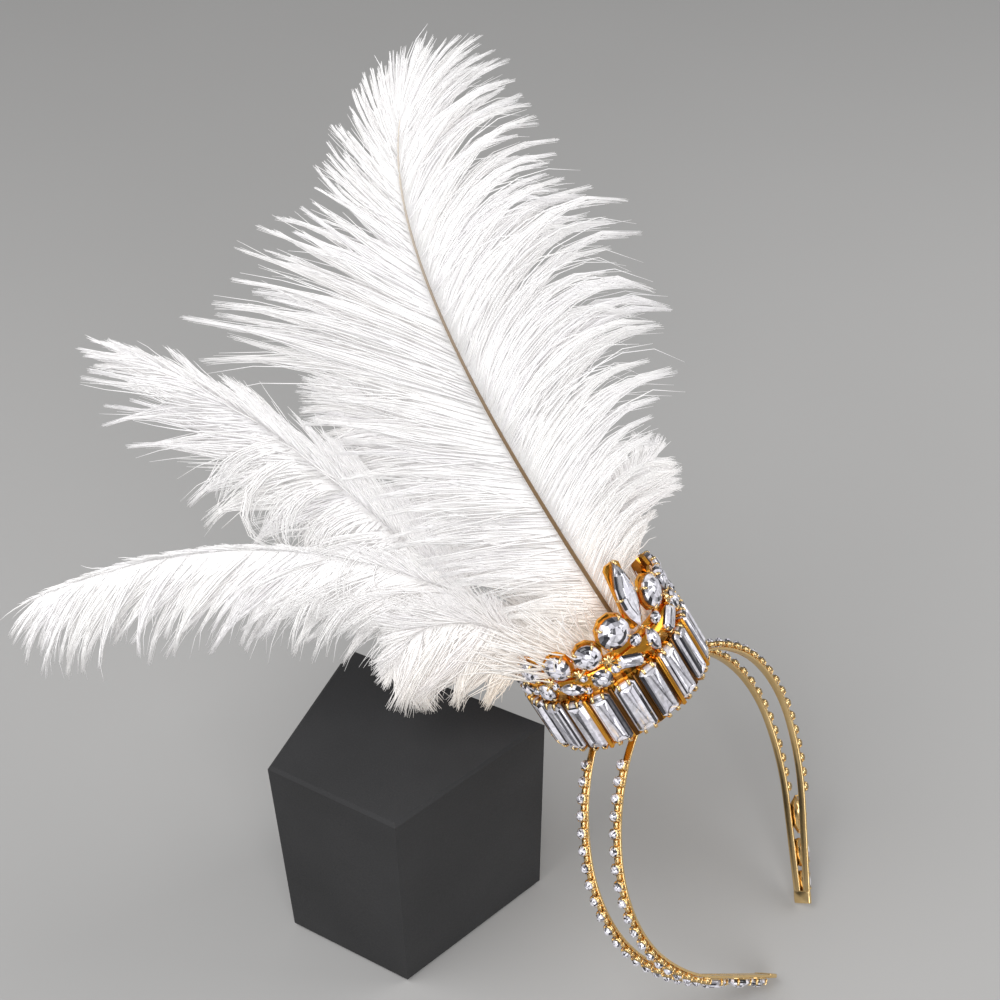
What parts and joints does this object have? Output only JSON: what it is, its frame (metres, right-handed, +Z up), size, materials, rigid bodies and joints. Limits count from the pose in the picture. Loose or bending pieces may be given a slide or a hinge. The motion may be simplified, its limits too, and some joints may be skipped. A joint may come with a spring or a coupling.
{
  "type": "feather crown headband on a display block",
  "caption": "Double-strand gold hair hoop set with crystals, carrying a ring-shaped crystal crown full of white plumes, leaning against a plain dark block.",
  "frame": {"origin": "middle of the display block's footprint, on the surface that it stands on", "axes": "+Z up, +X across the headband, -Y the way the headband faces; it leans back towards +Y"},
  "size_m": [0.1688, 0.2715, 0.3257],
  "materials": {
    "gold": "polished plating",
    "crystal": "clear foiled glass in claws",
    "feather": "soft white barbs",
    "block": "matte black"
  },
  "bodies": {
    "root": {"display_block": "block", "hoop": "gold", "crown_frame": "gold", "mid_row": "crystal", "front_chain_left": "crystal", "front_chain_right": "crystal", "back_chain_left": "crystal", "back_chain_right": "crystal", "baguette_01": "crystal", "baguette_02": "crystal", "baguette_03": "crystal", "baguette_04": "crystal", "baguette_05": "crystal", "baguette_06": "crystal", "baguette_07": "crystal", "baguette_08": "crystal", "baguette_09": "crystal", "baguette_10": "crystal", "baguette_11": "crystal", "baguette_12": "crystal", "baguette_13": "crystal", "baguette_14": "crystal", "baguette_15": "crystal", "baguette_16": "crystal", "baguette_17": "crystal", "baguette_18": "crystal", "baguette_19": "crystal", "baguette_20": "crystal", "round_a_left": "crystal", "round_a_right": "crystal", "round_b_left": "crystal", "round_b_right": "crystal", "round_c_left": "crystal", "round_c_right": "crystal", "round_d_left": "crystal", "round_d_right": "crystal", "round_e_left": "crystal", "round_e_right": "crystal", "round_f_left": "crystal", "round_f_right": "crystal", "round_g_left": "crystal", "round_g_right": "crystal", "end_navette_left": "crystal", "end_navette_right": "crystal", "end_oval_left": "crystal", "end_oval_right": "crystal", "end_drop_left": "crystal", "end_drop_right": "crystal", "main_plume": "feather", "right_plume": "feather", "fluff_plume": "feather", "low_plume": "feather", "left_plume": "feather", "back_plume": "feather", "tall_navette": "crystal"}
  },
  "joints": []
}
